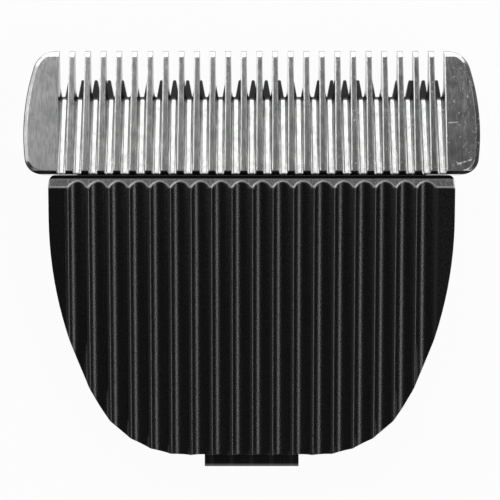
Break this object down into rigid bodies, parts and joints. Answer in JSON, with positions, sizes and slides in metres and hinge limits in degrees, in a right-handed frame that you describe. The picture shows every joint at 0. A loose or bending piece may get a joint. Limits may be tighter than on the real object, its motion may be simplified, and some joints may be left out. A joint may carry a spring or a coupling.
{
  "type": "hair clipper blade",
  "caption": "Snap-in hair clipper blade set: a grooved steel comb, a sliding ceramic cutter on a sprung driver, and a fluted black plastic shell with a latch tab.",
  "frame": {"origin": "centre of the overall box, on the plane of the shell's rim", "axes": "+X across the teeth to the right, +Y to the comb tips, +Z out of the fluted face on the skin side"},
  "size_m": [0.046, 0.0424, 0.0086],
  "materials": {
    "shell_plastic": "satin moulded black",
    "comb_steel": "ground and lightly scratched",
    "cutter_ceramic": "fine ground black",
    "driver_plastic": "satin moulded black",
    "spring_steel": "drawn wire",
    "screw_steel": "zinc plated"
  },
  "bodies": {
    "base": {"base_shell": "shell_plastic", "comb_blade": "comb_steel", "comb_screws": "screw_steel", "tension_spring": "spring_steel", "spring_pin": "spring_steel"},
    "cutter": {"cutter_blade": "cutter_ceramic", "cutter_driver": "driver_plastic"}
  },
  "joints": [
    {"name": "cutter_slide", "type": "slide", "parent": "base", "child": "cutter", "axis": [1, 0, 0], "range_m": [-0.00145, 0.00115]}
  ]
}
